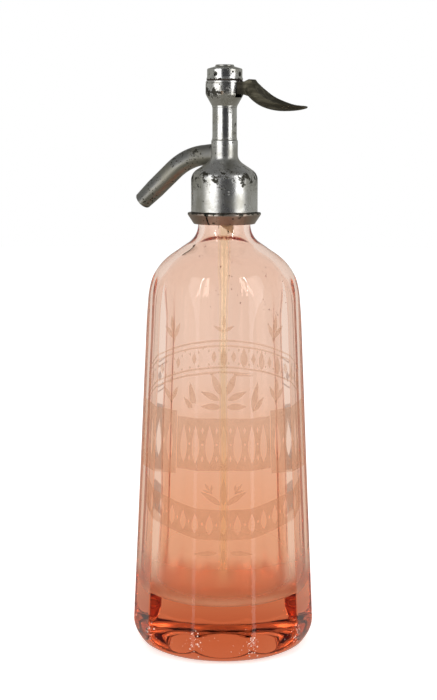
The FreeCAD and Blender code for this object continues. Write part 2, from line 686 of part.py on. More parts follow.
def lever():
    """Thumb lever: forked shank on the pin, knuckle, and a drooping dished blade."""
    blade = Part.makeLoft([blade_section(*section) for section in BLADE_SECTIONS], True, False)
    shank = lever_shank()
    fork_r = ROD_R + FORK_GAP
    fork = Part.makeBox(4 * NOSE_R, 2 * fork_r, 8, Vector(-4 * NOSE_R, -fork_r, NOSE_Z - 4))
    fork_end = Part.makeCylinder(fork_r, 8, Vector(0, 0, NOSE_Z - 4))
    pin_hole = Part.makeCylinder(PIN_R + PIN_FIT, 2 * SHANK_WIDTH, Vector(PIVOT_X, -SHANK_WIDTH, PIVOT_Z),
                                 Vector(0, 1, 0))
    return shank.cut(fork).cut(fork_end).cut(pin_hole).fuse(blade).removeSplitter()


NODES = {
    "glass_bottle": glass_bottle,
    "neck_ring_front": lambda: neck_ring_half(0),
    "neck_ring_rear": lambda: neck_ring_half(180),
    "bottle_gasket": bottle_gasket,
    "head_body": head_body,
    "spout": spout,
    "valve_seat": valve_seat,
    "tube_sleeve": tube_sleeve,
    "dip_tube": dip_tube,
    "column": column,
    "rod_packing": rod_packing,
    "rod_bush": rod_bush,
    "lever_housing": lever_housing,
    "lever_pin": lever_pin,
    "cap_washer": cap_washer,
    "cap": cap,
    "piston_rod": piston_rod,
    "valve_face": valve_face,
    "return_spring": return_spring,
    "lever": lever,
}


def build():
    os.makedirs("parts", exist_ok=True)
    for node, make in NODES.items():
        shape = make()
        solids = shape.Solids
        if len(solids) != 1:
            raise ValueError(node + " has " + str(len(solids)) + " solids")
        shape = solids[0]
        if not shape.isValid():
            raise ValueError(node + " is not a valid solid")
        box = shape.BoundBox
        print(node, round(shape.Volume, 1), [round(value, 1) for value in
              (box.XMin, box.XMax, box.YMin, box.YMax, box.ZMin, box.ZMax)])
        shape.exportStep("parts/" + node + ".step")


build()
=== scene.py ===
"""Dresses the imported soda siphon: pink ten-sided glass with etched bands, worn nickel head, dark thumb lever."""

import math
import random

import bpy
from mathutils import Matrix, Vector, noise


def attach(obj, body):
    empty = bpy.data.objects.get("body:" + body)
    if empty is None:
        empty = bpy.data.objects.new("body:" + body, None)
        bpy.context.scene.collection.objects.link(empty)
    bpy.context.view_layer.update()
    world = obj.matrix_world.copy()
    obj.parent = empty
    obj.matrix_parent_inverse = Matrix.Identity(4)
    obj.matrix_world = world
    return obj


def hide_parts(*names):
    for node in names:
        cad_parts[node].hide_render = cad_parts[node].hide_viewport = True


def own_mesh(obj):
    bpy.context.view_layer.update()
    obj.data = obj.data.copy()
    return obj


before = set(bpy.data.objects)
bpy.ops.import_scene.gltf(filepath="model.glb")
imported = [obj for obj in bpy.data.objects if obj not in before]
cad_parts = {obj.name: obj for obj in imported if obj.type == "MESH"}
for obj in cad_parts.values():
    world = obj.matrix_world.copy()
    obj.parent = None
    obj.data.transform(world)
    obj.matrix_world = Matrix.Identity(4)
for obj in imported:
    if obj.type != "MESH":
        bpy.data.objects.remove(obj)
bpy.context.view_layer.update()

bl_info = {
    "name": "Soda Siphon",
    "version": (1, 0, 0),
    "blender": (4, 5, 0),
    "location": "3D View > Sidebar > Siphon",
    "description": "Dresses the packed soda siphon and sets its studio stage",
    "category": "Object",
}

MM = 0.001
WELD, DRAWING_WELD = 0.002 * MM, 0.01 * MM  # points closer than this are merged

# Bottle, in millimetres, as in the part's own source
FACETS = 10
FACET_TURN = 18.0  # direction of a flat's middle, degrees from +X
BASE_R, SHOULDER_R, SHOULDER_Z = 50.9, 41.3, 208.2
NECK_R, NECK_Z, NECK_BORE_R = 14.2, 226.5, 9.8
BEAD_R, BEAD_Z, LIP_Z = 15.4, 240.3, 247.0
WALL, FLOOR_Z = 6.0, 29.0

# Bottle's finer shape, in millimetres
ARC_STEP = 4.0  # degrees between the points of a rounded corner
LONGEST_EDGE = 2.4
EDGE_SHARE = 0.49  # most of an edge that one rounding takes
ON_AXIS = 0.01  # nearer the axis than this counts as on it
STAND_R = 24.5  # inner edge of the ring that the bottle stands on
FOOT_TOP = 13.5  # below it the flats follow the foot's rounding
UPPER_Z = 100.0  # everything above it belongs to the outer profile
CAVITY_DROP, BORE_EXTRA, MOUTH_BEVEL, FLOOR_DIP = 1.6, 0.9, 0.6, 0.6
EASE_Z, EASE_REACH = 178.0, 28.0  # where the ridges soften towards the shoulder
SIDE_EASE, SHOULDER_EASE = 0.7, 2.6  # softness of a ridge on the side, and what the shoulder adds
PRESSED_R = 26.0  # the flats are pressed into the outside beyond this radius
CAVITY_SHARE = 0.7  # share of the wall beyond which a point belongs to the cavity
WAVER_LOW, WAVER_HIGH, WAVER_END, WAVER_FADE = 28.0, 232.0, 218.0, 20.0
SKIN_LOW, SKIN_HIGH, SKIN_DEPTH = 14.0, 215.0, 0.05
WAVER_CROWD, WAVER_RUN = 1.6, 55.0  # how close the waver lies round the bottle, and its run in height
SKIN_CROWD, SKIN_RUN = 4.0, 30.0

# Bottle's tints and haze, by height in metres
TINT_RISE = (0.06, 0.17)
BASE_FADE = (0.034, 0.024)
HAZE_FADE = (0.05, 0.16)
FLOOR_HAZE = (0.038, 0.064, 0.42, 0.0)
ETCH_DEEPENS = (0.135, 0.085)
ETCH_DEPTH = (0.95, 0.80, 0.74)

# Etched design, in millimetres and radians
VIEW_TURN = -54.0  # direction of the flat that faces the camera, degrees from +X
ETCH_R = 45.0  # radius at which the design's widths are true
RIDGES = range(-3, 3)  # ridges that the drawn front crosses
BESIDE_RIDGE = (-0.035, -0.012, 0.012, 0.035)  # cuts beside each ridge
LEAF_STEPS, LEAF_SWELL = 9, 0.8
STEM_HALF_WIDTH = 0.14
RIBBON_STEPS = 60
ARCH_BEND, SMILE_BEND = -0.0054, 0.0042
UPRIGHT = 90

# Leaves on both sides of the middle: on a stem or not, across, up, length, width or spread, lean off upright
FOLIAGE = (
    (True, 31, 172.0, 10.0, 36, 10),
    (False, 1.6, 145.6, 13.0, 3.9, 24),
    (False, 2.2, 143.0, 11.5, 3.3, 66),
    (False, 1.6, 139.4, 11.0, 3.5, 88),
    (False, 15.8, 137.4, 15.5, 4.0, 14),
    (False, 16.4, 137.0, 10.0, 3.2, 46),
    (True, 32, 139.0, 9.6, 34, 4),
    (False, 0.9, 87.0, 13.5, 3.0, 56),
    (True, 6.0, 93.0, 4.6, 40, 34),
    (False, 3.0, 61.6, 12.0, 2.6, 93),
)

# Chips and marks
WEAR_SEED = 11
CHIPS_PER_RIDGE, LOOSE_CHIPS, MARK_CLUSTERS = 60, 40, 15
CHIP_Z, CHIP_LOW, CHIP_HIGH = 12.0, 4.5, 22.0
CHIP_SPREAD, CHIP_Z_SPREAD = 1.7, 3.6

# Nickel fittings: node, finish, belt's height and reach in metres, belt's wear, pits, low and high sheen, painted shade
# on the undersides
FITTINGS = (
    ("head_body", "head_nickel", 0.2585, 0.0085, 0.85, 0.5, 0.21, 0.37, 0.3),
    ("lever_housing", "housing_nickel", 0.3035, 0.0045, 0.9, 0.55, 0.18, 0.32, 0.3),
    ("column", "column_nickel", 0.286, 0.004, 0.15, 0.5, 0.18, 0.31, 0.6),
    ("cap", "cap_nickel", 0.3103, 0.0014, 1.1, 0.6, 0.17, 0.30, 0.6),
    ("spout", "spout_nickel", 0.272, 0.008, 0.6, 0.75, 0.30, 0.46, 0.6),
)
SPOUT_SHADE, SPOUT_PIT_SCALE = 0.38, 620.0
RING_WEAR = (0.2392, 0.0016, 0.9, 0.6, 0.26, 0.42, 0.5)  # as above, from the belt's height on
# Brown tarnish of the ring, also the colour of its painted shade on downward faces
RING_TARNISH_AND_SHADE = (0.3, 0.21, 0.16, 1)
SEAM_SIDE = (0.9945, 0.1045, 0)  # across the split of the neck ring
SEAM_HALF_WIDTH, SEAM_FRAY = 0.42 * MM, 1.2 * MM

# Soft inner parts: finish, nodes, light and dark colour, scale of the mottle
SOFT_PARTS = (
    ("greased_leather", ("rod_packing", "cap_washer"), (0.05, 0.03, 0.02, 1), (0.02, 0.012, 0.008, 1), 500.0),
    ("aged_rubber", ("bottle_gasket", "valve_face"), (0.30, 0.12, 0.07, 1), (0.16, 0.06, 0.04, 1), 300.0),
)

# Dip tube, in millimetres
TUBE_BORE_R, TUBE_R, TUBE_LOW, TUBE_HIGH = 2.0, 3.45, 32.5, 240.3

# Stage, in metres; turns are degrees off the camera's direction
STAGE_R, STAGE_THICKNESS, STAGE_DROP = 3.0, 0.01, 0.0002
BOX_DISTANCE, BOX_TALL, BOX_HEIGHT = 1.2, 2.0, 0.45
LEFT_BOX_TURN, LEFT_BOX_WIDTH = -45, 0.95
RIGHT_BOX_TURN, RIGHT_BOX_WIDTH = 55, 0.62
STRIPS = (("left_strip", -40), ("right_strip", 40))
STRIP_DISTANCE, STRIP_WIDTH, STRIP_TALL, STRIP_HEIGHT = 1.1, 0.085, 0.8, 1.0
HIGHEST_AIM = 0.45
LENS_MM, SENSOR_MM = 80.3, 36.0
LIGHT_BOUNCES = 40  # through both walls, the tube and the thick base

WHITE = (1, 1, 1, 1)
GLASS_IOR = 1.5


# Meshes

def clear_selection():
    """Leaves edit mode and deselects everything."""
    if bpy.context.object and bpy.context.object.mode != "OBJECT":
        bpy.ops.object.mode_set(mode="OBJECT")
    bpy.ops.object.select_all(action="DESELECT")


def heading(turn):
    """Unit vector in the plane, in a direction (degrees)."""
    return Vector((math.cos(math.radians(turn)), math.sin(math.radians(turn))))


def around(turn, radius, height):
    """Point round the upright axis, in a direction (radians)."""
    return Vector((radius * math.cos(turn), radius * math.sin(turn), height))


def rounded(corners, arc_step, longest=0.0):
    """Points of a closed outline with rounded corners, from (radius, height, rounding) in millimetres."""
    points = []
    for index, (across, height, rounding) in enumerate(corners):
        here = Vector((across, height))
        if rounding <= 0:
            points.append(here)
            continue
        back = Vector(corners[index - 1][:2]) - here
        ahead = Vector(corners[(index + 1) % len(corners)][:2]) - here
        half = back.angle(ahead) / 2
        setback = min(rounding / math.tan(half), EDGE_SHARE * min(back.length, ahead.length))
        radius = setback * math.tan(half)
        middle = here + (back.normalized() + ahead.normalized()).normalized() * (radius / math.sin(half))
        first = here + back.normalized() * setback - middle
        last = here + ahead.normalized() * setback - middle
        start = math.atan2(first.y, first.x)
        sweep = (math.atan2(last.y, last.x) - start + math.pi) % (2 * math.pi) - math.pi
        steps = max(2, math.ceil(math.degrees(abs(sweep)) / arc_step))
        for step in range(steps + 1):
            turn = start + sweep * step / steps
            points.append(middle + radius * Vector((math.cos(turn), math.sin(turn))))
    if longest <= 0:
        return points
    filled = []
    for here, ahead in zip(points, points[1:] + points[:1]):
        filled.append(here)
        if here.x < ON_AXIS and ahead.x < ON_AXIS:
            continue
        runs = math.ceil((ahead - here).length / longest)
        filled += [here.lerp(ahead, run / runs) for run in range(1, runs)]
    return filled


def clean_mesh(piece, smooth_angle):
    """Merges doubles, drops loose edges, turns faces outwards and smooths them."""
    bpy.ops.mesh.select_all(action="SELECT")
    bpy.ops.mesh.remove_doubles(threshold=WELD)
    bpy.ops.mesh.delete_loose(use_verts=True, use_edges=True, use_faces=False)
    bpy.ops.mesh.select_all(action="SELECT")
    bpy.ops.mesh.normals_make_consistent(inside=False)
    bpy.ops.object.mode_set(mode="OBJECT")
    bpy.ops.object.shade_smooth_by_angle(angle=math.radians(smooth_angle))
    return piece


def lathe(name, outline, steps, smooth_angle):
    """Turns a closed outline (radius, height, in millimetres) about the upright axis."""
    clear_selection()
    bpy.ops.mesh.primitive_circle_add(vertices=len(outline), radius=MM, location=(0, 0, 0))
    piece = bpy.context.object
    piece.name = piece.data.name = name
    for vertex, point in zip(piece.data.vertices, outline):
        vertex.co = (point[0] * MM, 0, point[1] * MM)
    bpy.ops.object.mode_set(mode="EDIT")
    bpy.ops.mesh.select_all(action="SELECT")
    bpy.ops.mesh.spin(steps=steps, angle=2 * math.pi, center=(0, 0, 0), axis=(0, 0, 1))
    return clean_mesh(piece, smooth_angle)


# Shader wiring

def rgba(colour, share=1.0):
    """Colour darkened to a share of itself, with full alpha."""
    return (*[channel * share for channel in colour], 1)


class Wiring:
    """Short hand for adding and joining the nodes of one shader tree."""

    def __init__(self, tree):
        self.tree = tree

    def fill(self, node, inputs):
        """Joins a node's inputs to sockets, or sets them to values."""
        for key, value in inputs.items():
            if isinstance(value, bpy.types.NodeSocket):
                self.tree.links.new(value, node.inputs[key])
            else:
                node.inputs[key].default_value = value
        return node

    def add(self, kind, inputs=None, **settings):
        node = self.tree.nodes.new("ShaderNode" + kind)
        for name, value in settings.items():
            setattr(node, name, value)
        return self.fill(node, inputs or {})

    def group(self, group, inputs):
        node = self.tree.nodes.new("ShaderNodeGroup")
        node.node_tree = group
        return self.fill(node, inputs)

    def join(self, source, node, socket):
        self.tree.links.new(source, node.inputs[socket])

    def place(self):
        return self.add("TexCoord").outputs["Object"]

    def axis(self, letter, vector=None):
        return self.add("SeparateXYZ", {0: vector or self.place()}).outputs[letter]

    def stretched(self, scale):
        return self.add("Mapping", {"Vector": self.place(), "Scale": scale}).outputs[0]

    def noise(self, scale, place=None, detail=4.0, roughness=0.5, distortion=0.0):
        return self.add("TexNoise", {"Vector": place or self.place(), "Scale": scale, "Detail": detail,
                                     "Roughness": roughness, "Distortion": distortion}).outputs["Fac"]

    def cells(self, scale, place=None):
        return self.add("TexVoronoi", {"Vector": place or self.place(), "Scale": scale}).outputs["Distance"]

    def span(self, value, low, high, to_low=0.0, to_high=1.0):
        """Value between two ends, turned smoothly into one between two others."""
        return self.add("MapRange", {"Value": value, "From Min": low, "From Max": high, "To Min": to_low,
                                     "To Max": to_high}, interpolation_type="SMOOTHSTEP").outputs[0]

    def calc(self, operation, first, second=0.0):
        return self.add("Math", {0: first, 1: second}, operation=operation).outputs[0]

    def blend(self, share, first, second):
        return self.add("Mix", {0: share, 6: first, 7: second}, data_type="RGBA").outputs[2]

    def number(self, share, first, second):
        return self.add("Mix", {0: share, 2: first, 3: second}, data_type="FLOAT").outputs[0]

    def bump(self, shader, height, distance, strength):
        """Feeds a height into the shader's normal."""
        relief = self.add("Bump", {"Height": height, "Distance": distance, "Strength": strength})
        self.join(relief.outputs[0], shader, "Normal")


def new_group(name, inputs, outputs):
    """Empty shader group with its sockets: (group, wiring, its inputs, its output node)."""
    group = bpy.data.node_groups.new(name, "ShaderNodeTree")
    for label, kind, value in inputs:
        socket = group.interface.new_socket(name=label, in_out="INPUT", socket_type="NodeSocket" + kind)
        socket.default_value = value
    for label, kind in outputs:
        group.interface.new_socket(name=label, in_out="OUTPUT", socket_type="NodeSocket" + kind)
    entry = group.nodes.new("NodeGroupInput")
    return group, Wiring(group), entry.outputs, group.nodes.new("NodeGroupOutput")


def new_material(name, **plain):
    """Material with a plain Principled shader: (material, wiring, shader, output)."""
    material = bpy.data.materials.new(name)
    material.use_nodes = True
    material.node_tree.nodes.clear()
    wiring = Wiring(material.node_tree)
    shader = wiring.add("BsdfPrincipled")
    for key, value in plain.items():
        label = key.replace("_", " ").title().replace("Ior", "IOR")
        shader.inputs[label].default_value = value
    output = wiring.add("OutputMaterial", {"Surface": shader.outputs[0]})
    return material, wiring, shader, output


def worn_metal_group():
    """Bright metal with clouded sheen, pits, dark patches in one belt of height, and painted brown shade on the faces
    that turn downwards.
    """
    known = bpy.data.node_groups.get("worn_metal")
    if known:
        return known
    group, wiring, entry, output = new_group("worn_metal", [
        ("Bright", "Color", (0.5, 0.5, 0.47, 1)), ("Dark", "Color", (0.03, 0.028, 0.025, 1)),
        ("Tarnish", "Color", (0.2, 0.15, 0.09, 1)), ("Pit Scale", "Float", 400.0), ("Pits", "Float", 0.5),
        ("Belt Height", "Float", 0.26), ("Belt Reach", "Float", 0.006), ("Belt Wear", "Float", 0.5),
        ("Underside_Shade", "Float", 0.6), ("Sheen Low", "Float", 0.24), ("Sheen High", "Float", 0.4),
    ], [("Color", "Color"), ("Roughness", "Float"), ("Height", "Float")])
    place = wiring.place()
    cloud = wiring.noise(75.0, place, detail=5.0, roughness=0.6)
    grain = wiring.noise(1400.0, place, detail=4.0, roughness=0.7)
    warped = wiring.noise(260.0, place, detail=6.0, roughness=0.72)
    near = wiring.span(wiring.noise(130.0, place, detail=2.0), 0.42, 0.62)
    pit_size = wiring.calc("MULTIPLY", wiring.calc("MULTIPLY", near, entry["Pits"]), 0.42)
    spots = wiring.calc("LESS_THAN", wiring.cells(entry["Pit Scale"], place), pit_size)
    away = wiring.calc("ABSOLUTE", wiring.calc("SUBTRACT", wiring.axis("Z", place), entry["Belt Height"]))
    belt = wiring.add("MapRange", {"Value": away, "From Min": 0.0, "From Max": entry["Belt Reach"],
                                   "To Min": entry["Belt Wear"], "To Max": 0.0}).outputs[0]
    patch = wiring.span(wiring.calc("ADD", warped, wiring.calc("MULTIPLY", belt, 0.22)), 0.655, 0.685)
    dirt = wiring.calc("MAXIMUM", spots, patch)
    # Painted shade: faces that turn downwards are blended towards the tarnish colour, by the underside shade share
    facing = wiring.axis("Z", wiring.add("TexCoord").outputs["Normal"])
    underside_shade = wiring.calc("MULTIPLY", wiring.span(facing, 0.05, -0.5), entry["Underside_Shade"])
    speckled = wiring.calc("ADD", wiring.calc("MULTIPLY", cloud, 0.7), wiring.calc("MULTIPLY", grain, 0.3))
    cloudy = wiring.blend(wiring.span(speckled, 0.4, 0.64, 0.0, 0.72), entry["Bright"], entry["Tarnish"])
    cloudy_and_shaded_below = wiring.blend(underside_shade, cloudy, entry["Tarnish"])
    sheen = wiring.number(wiring.span(cloud, 0.3, 0.7), entry["Sheen Low"], entry["Sheen High"])
    wiring.fill(output, {
        "Color": wiring.blend(dirt, cloudy_and_shaded_below, entry["Dark"]),
        "Roughness": wiring.number(dirt, sheen, 0.62),
        "Height": wiring.calc("SUBTRACT", wiring.calc("MULTIPLY", grain, 0.35), dirt),
    })
    return group


def wear(belt_height, belt_reach, belt_wear, pits, sheen_low, sheen_high, underside_shade):
    """Inputs of the worn metal group, by their names."""
    return {"Belt Height": belt_height, "Belt Reach": belt_reach, "Belt Wear": belt_wear, "Pits": pits,
            "Sheen Low": sheen_low, "Sheen High": sheen_high, "Underside_Shade": underside_shade}


def worn_metal(name, **values):
    """Metal finish from the worn group, with its own values."""
    material, wiring, shader, _ = new_material(name, metallic=1.0)
    worn = wiring.group(worn_metal_group(), values)
    wiring.join(worn.outputs["Color"], shader, "Base Color")
    wiring.join(worn.outputs["Roughness"], shader, "Roughness")
    wiring.bump(shader, worn.outputs["Height"], distance=0.05 * MM, strength=0.6)
    return material


def dress(name, material):
    """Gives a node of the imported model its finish."""
    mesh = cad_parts[name].data
    mesh.materials.clear()
    mesh.materials.append(material)


def carried(piece, material, slot, *nodes):
    """A new piece's finish, its body and the nodes that it stands for; its slot is not used."""
    piece.data.materials.clear()
    piece.data.materials.append(material)
    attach(piece, "siphon")
    if nodes:
        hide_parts(*nodes)
    return piece


# Bottle

def side_radius(height):
    """Radius of the straight side at a height, along a ridge, in millimetres."""
    return BASE_R + (SHOULDER_R - BASE_R) * height / SHOULDER_Z


def outside_corners():
    """Corners of the outside, from the pushed-up middle of the foot to the lip: (radius, height, rounding)."""
    return [
        (0, 1.8, 0), (19, 1.5, 5), (STAND_R, 0, 1.5),
        (BASE_R, 0, 12.6), (SHOULDER_R, SHOULDER_Z, 38.0), (NECK_R, NECK_Z, 11.8),
        (NECK_R, BEAD_Z, 0), (BEAD_R, BEAD_Z, 1.0), (BEAD_R, LIP_Z, 1.0),
    ]


def cavity_corners():
    """Corners of the cavity, from the lip down to the middle of its floor."""
    slope = (NECK_Z - SHOULDER_Z) / (SHOULDER_R - NECK_R)
    shoulder_r, shoulder_z = SHOULDER_R - WALL, SHOULDER_Z - CAVITY_DROP
    bore = NECK_BORE_R + BORE_EXTRA
    neck_z = shoulder_z + slope * (shoulder_r - bore)
    return [
        (bore + MOUTH_BEVEL, LIP_Z, 0), (bore, LIP_Z - MOUTH_BEVEL, 0), (bore, neck_z, 16.0),
        (shoulder_r, shoulder_z, 32.0), (side_radius(FLOOR_Z) - WALL, FLOOR_Z, 14.0),
        (0, FLOOR_Z - FLOOR_DIP, 0),
    ]


PROFILE = [point for point in rounded(outside_corners() + [(0, LIP_Z, 0)], ARC_STEP)
           if point.x > STAND_R or point.y > UPPER_Z]


def glass_radius(turn, height):
    """Outer radius of the glass in a direction (degrees) at a height, flats included, in millimetres."""
    round_r = PROFILE[-1].x
    for low, high in zip(PROFILE, PROFILE[1:]):
        if low.y <= height <= high.y and high.y > low.y:
            round_r = low.x + (high.x - low.x) * (height - low.y) / (high.y - low.y)
            break
    return pressed(round_r, turn, height)


def pressed(radius, turn, height):
    """Radius after the flats are pressed in, with ridges that soften towards the shoulder."""
    soft = min(1.0, max(0.0, (height - EASE_Z) / EASE_REACH))
    ease = SIDE_EASE + SHOULDER_EASE * soft * soft * (3 - 2 * soft)
    pitch = 360.0 / FACETS
    off = (turn - FACET_TURN + pitch / 2) % pitch - pitch / 2
    side = side_radius(height)
    flat = side * math.cos(math.pi / FACETS) / math.cos(math.radians(off))
    foot = radius if height > FOOT_TOP else (radius + side) / 2
    near = max(ease - abs(foot - flat), 0) / ease
    share = (min(foot, flat) - near * near * ease / 4) / foot
    return radius * share


def shape_glass(piece, crowd, ripple):
    """Crowds the mesh at the ridges, presses the flats, marks the cavity and lets its wall waver."""
    cavity = piece.data.attributes.new("cavity", "FLOAT", "POINT").data
    for vertex in piece.data.vertices:
        x, y, height = vertex.co / MM
        radius = math.hypot(x, y)
        inside = radius < side_radius(height) - CAVITY_SHARE * WALL and height > FLOOR_Z - 1
        cavity[vertex.index].value = float(inside)
        if radius < ON_AXIS:
            continue
        turn = math.atan2(y, x)
        turn -= crowd / FACETS * math.sin(FACETS * turn)
        if inside and WAVER_LOW < height < WAVER_HIGH:
            wave = noise.noise(around(turn, WAVER_CROWD, height / WAVER_RUN))
            fade = min(1.0, max(0.0, (WAVER_END - height) / WAVER_FADE))
            radius += ripple * wave * min(1.0, radius / WAVER_FADE) * fade
        elif radius > PRESSED_R:
            radius = pressed(radius, math.degrees(turn), height)
            if SKIN_LOW < height < SKIN_HIGH:
                radius -= SKIN_DEPTH + SKIN_DEPTH * noise.noise(around(turn, SKIN_CROWD, height / SKIN_RUN))
        vertex.co = around(turn, radius, height) * MM


def pink_glass(settings):
    """Clear pink glass: tinted at its faces, deeper towards the foot, and absorbing through its depth."""
    material, wiring, shader, output = new_material("pink_glass_finish", ior=GLASS_IOR, transmission_weight=1.0)
    shader.inputs["Specular Tint"].default_value = rgba([settings.gloss] * 3)
    height = wiring.axis("Z")
    sides = wiring.blend(wiring.span(height, *TINT_RISE), rgba(settings.low_tint), rgba(settings.tint))
    faces = wiring.blend(wiring.span(height, *BASE_FADE), sides, rgba(settings.base_tint))
    wiring.join(faces, shader, "Base Color")
    cavity = wiring.add("Attribute", attribute_name="cavity").outputs["Fac"]
    low_wall = wiring.span(height, *HAZE_FADE, settings.haze, 0.0)
    haze = wiring.calc("MULTIPLY", cavity, wiring.calc("ADD", low_wall, wiring.span(height, *FLOOR_HAZE)))
    wiring.join(haze, shader, "Roughness")
    depth = wiring.add("VolumeAbsorption", {"Color": rgba(settings.depth), "Density": settings.density})
    wiring.join(depth.outputs[0], output, "Volume")
    streaks = wiring.noise(1.0, wiring.stretched((140.0, 140.0, 9.0)), detail=3.0, roughness=0.6)
    wiring.bump(shader, streaks, distance=0.06 * MM, strength=0.5)
    return material


# Etched design, drawn flat in millimetres: across from the front flat's middle, and up from the foot

def leaf(across, up, length, width, turn):
    """Pointed leaf that grows from a point in a direction (degrees)."""
    ahead = heading(turn)
    side = Vector((-ahead.y, ahead.x))
    start = Vector((across, up))

    def edge(step, breadth):
        swell = math.sin(math.pi * (step / LEAF_STEPS) ** LEAF_SWELL)
        return start + ahead * length * step / LEAF_STEPS + side * breadth / 2 * swell

    return ([edge(step, width) for step in range(LEAF_STEPS + 1)]
            + [edge(step, -width) for step in range(LEAF_STEPS - 1, 0, -1)])


def sprig(across, up, size, spread, turn):
    """Leaf at the end of a stem, with a pair of leaves half way along it."""
    ahead = heading(turn)
    side = Vector((-ahead.y, ahead.x)) * STEM_HALF_WIDTH
    foot = Vector((across, up))
    top = foot + ahead * size * 0.5
    joint = foot.lerp(top, 0.5)
    return ([[foot - side, top - side, top + side, foot + side], leaf(*top, size, size * 0.3, turn)]
            + [leaf(*joint, size * 0.95, size * 0.27, turn + way * spread) for way in (-1, 1)])


def ribbon(half_width, low, high, bend):
    """Band between two heights whose ends rise or fall with the square of the distance."""
    places = [-half_width + 2 * half_width * step / RIBBON_STEPS for step in range(RIBBON_STEPS + 1)]
    return ([Vector((x, low + bend * x * x)) for x in places]
            + [Vector((x, high + bend * x * x)) for x in reversed(places)])


def lozenge(across, up, width, height, points=4):
    """Upright shape with its corners on an oval."""
    return [Vector((across + width / 2 * math.cos(2 * math.pi * k / points),
                    up + height / 2 * math.sin(2 * math.pi * k / points))) for k in range(points)]


def almond(across, up, width, height):
    """Upright pointed oval."""
    return leaf(across, up - height / 2, height, width, UPRIGHT)


def arched_row():
    """Two pairs of rules with a row of ovals and lozenges between them, highest in the middle."""
    shapes = [ribbon(60, low, low + 0.85, ARCH_BEND) for low in (174.0, 171.3, 160.0, 157.4)]
    for number in range(-10, 11):
        x = number * 5.6
        up = 166.1 + ARCH_BEND * x * x
        shapes.append(almond(x, up, 3.9, 10.4) if number % 2 == 0 else lozenge(x, up, 3.0, 6.4))
        shapes += [lozenge(x + 2.8, up + rise, 1.2, 1.8) for rise in (-3.6, 3.6)]
    return shapes


def middle_band():
    """Frosted band of ovals on the front flats, and a taller panel on each side of it."""
    shapes = [ribbon(27.5, 105.6, 133.4, 0.0)]
    for number in range(-3, 4):
        x = number * 7.6
        shapes.append(almond(x, 119.5, 4.6, 20.5))
        if number < 3:
            shapes += [lozenge(x + 3.8, 127.0, 1.6, 3.6), lozenge(x + 3.8, 112.0, 1.6, 3.6),
                       lozenge(x + 3.8, 119.5, 1.4, 1.4, 8)]
    for way in (-1, 1):
        inner, outer = 27.9 * way, 66.0 * way
        shapes.append([Vector(p) for p in ((inner, 102.6), (outer, 100.6), (outer, 138.2), (inner, 136.2))])
        for number in range(4):
            x = (32.5 + 8.2 * number) * way
            shapes += [almond(x, 119.4, 4.4, 21.0), lozenge(x + 4.1 * way, 119.4, 1.5, 4.0)]
    return shapes


def sagging_band():
    """Frosted band of ovals and lozenges, lowest in the middle."""
    shapes = [ribbon(56, 68.4, 84.6, SMILE_BEND)]
    for number in range(-6, 7):
        x = number * 7.4
        shapes.append(almond(x, 76.5 + SMILE_BEND * x * x, 3.8, 10.6))
        if number < 6:
            shapes.append(lozenge(x + 3.7, 76.5 + SMILE_BEND * (x + 3.7) ** 2, 1.4, 2.4))
    return shapes


def foliage():
    """Leaves and sprigs between the bands, alike on both sides, and those on the middle line."""
    shapes = []
    for way in (-1, 1):
        for stemmed, across, up, length, width, lean in FOLIAGE:
            values = (across * way, up, length, width, UPRIGHT - lean * way)
            shapes += sprig(*values) if stemmed else [leaf(*values)]
    return (shapes + sprig(0, 177.4, 7.0, 62, UPRIGHT)
            + [leaf(0, 87.2, 14.0, 3.9, UPRIGHT), leaf(0, 64.0, 8.4, 2.6, -UPRIGHT)])


def flat_drawing(name, shapes):
    """Filled flat mesh of closed shapes; where they lie in each other, every second one is clear."""
    clear_selection()
    drawing = bpy.data.curves.new(name, "CURVE")
    drawing.dimensions = "2D"
    drawing.fill_mode = "FRONT"
    for shape in shapes:
        line = drawing.splines.new("POLY")
        line.points.add(len(shape) - 1)
        for point, place in zip(line.points, shape):
            point.co = (place[0] * MM, place[1] * MM, 0, 1)
        line.use_cyclic_u = True
    piece = bpy.data.objects.new(name, drawing)
    bpy.context.scene.collection.objects.link(piece)
    bpy.context.view_layer.objects.active = piece
    piece.select_set(True)
    bpy.ops.object.convert(target="MESH")
    return bpy.context.object


def wrap_on_glass(piece, lift):
    """Cuts the flat drawing at the ridges and lays it on the bottle's front, a little proud of the glass."""
    pitch = math.radians(360.0 / FACETS)
    bpy.ops.object.mode_set(mode="EDIT")
    for ridge in RIDGES:
        for beside in BESIDE_RIDGE:
            cut = ((ridge + 0.5) * pitch + beside) * ETCH_R * MM
            bpy.ops.mesh.select_all(action="SELECT")
            bpy.ops.mesh.bisect(plane_co=(cut, 0, 0), plane_no=(1, 0, 0))
    bpy.ops.object.mode_set(mode="OBJECT")
    for vertex in piece.data.vertices:
        turn = math.radians(VIEW_TURN) + vertex.co.x / MM / ETCH_R
        height = vertex.co.y / MM
        vertex.co = around(turn, glass_radius(math.degrees(turn), height) + lift, height) * MM
    bpy.ops.object.mode_set(mode="EDIT")
    bpy.ops.mesh.select_all(action="SELECT")
    bpy.ops.mesh.remove_doubles(threshold=DRAWING_WELD)
    bpy.ops.object.mode_set(mode="OBJECT")
    bpy.ops.object.shade_smooth()
    outward = sum(face.normal.dot(Vector((face.center.x, face.center.y, 0))) for face in piece.data.polygons)
    if outward < 0:
        bpy.ops.object.mode_set(mode="EDIT")
        bpy.ops.mesh.select_all(action="SELECT")
        bpy.ops.mesh.flip_normals()
        bpy.ops.object.mode_set(mode="OBJECT")
    return piece


